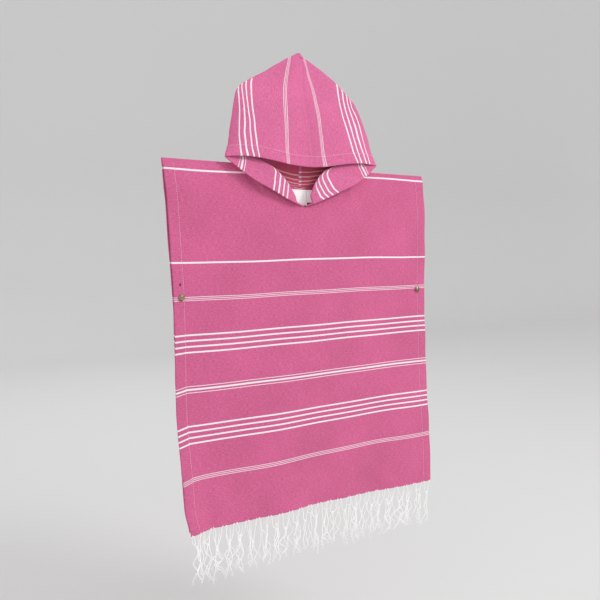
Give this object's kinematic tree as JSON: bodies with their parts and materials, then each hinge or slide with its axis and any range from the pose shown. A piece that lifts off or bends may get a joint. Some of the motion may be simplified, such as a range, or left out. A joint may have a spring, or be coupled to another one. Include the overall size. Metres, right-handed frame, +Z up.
{
  "type": "hooded bath poncho on a wall hook",
  "caption": "Child's hooded bath poncho in striped flat towelling with a fringed hem and snap sides, hung flat by the tip of its hood on a wall hook.",
  "frame": {"origin": "middle of the wall hook plate's back face, in the plane of the wall", "axes": "+Z up, -Y out of the wall towards the front of the garment, +X to the right as seen from the front"},
  "size_m": [0.5093, 0.0476, 0.8278],
  "materials": {
    "cloth": "pink and white striped flat towelling",
    "label": "plain woven tape",
    "fringe_thread": "twisted cotton thread",
    "snap_metal": "aged, satin",
    "hook_steel": "brushed"
  },
  "bodies": {
    "root": {"front_panel": "cloth", "back_panel": "cloth", "hood": "cloth", "label_main": "label", "label_small": "label", "snap_cap_left": "snap_metal", "snap_lock_left": "snap_metal", "snap_back_left": "snap_metal", "snap_cap_right": "snap_metal", "snap_lock_right": "snap_metal", "snap_back_right": "snap_metal", "front_fringe": "fringe_thread", "back_fringe": "fringe_thread", "wall_hook": "hook_steel"}
  },
  "joints": []
}
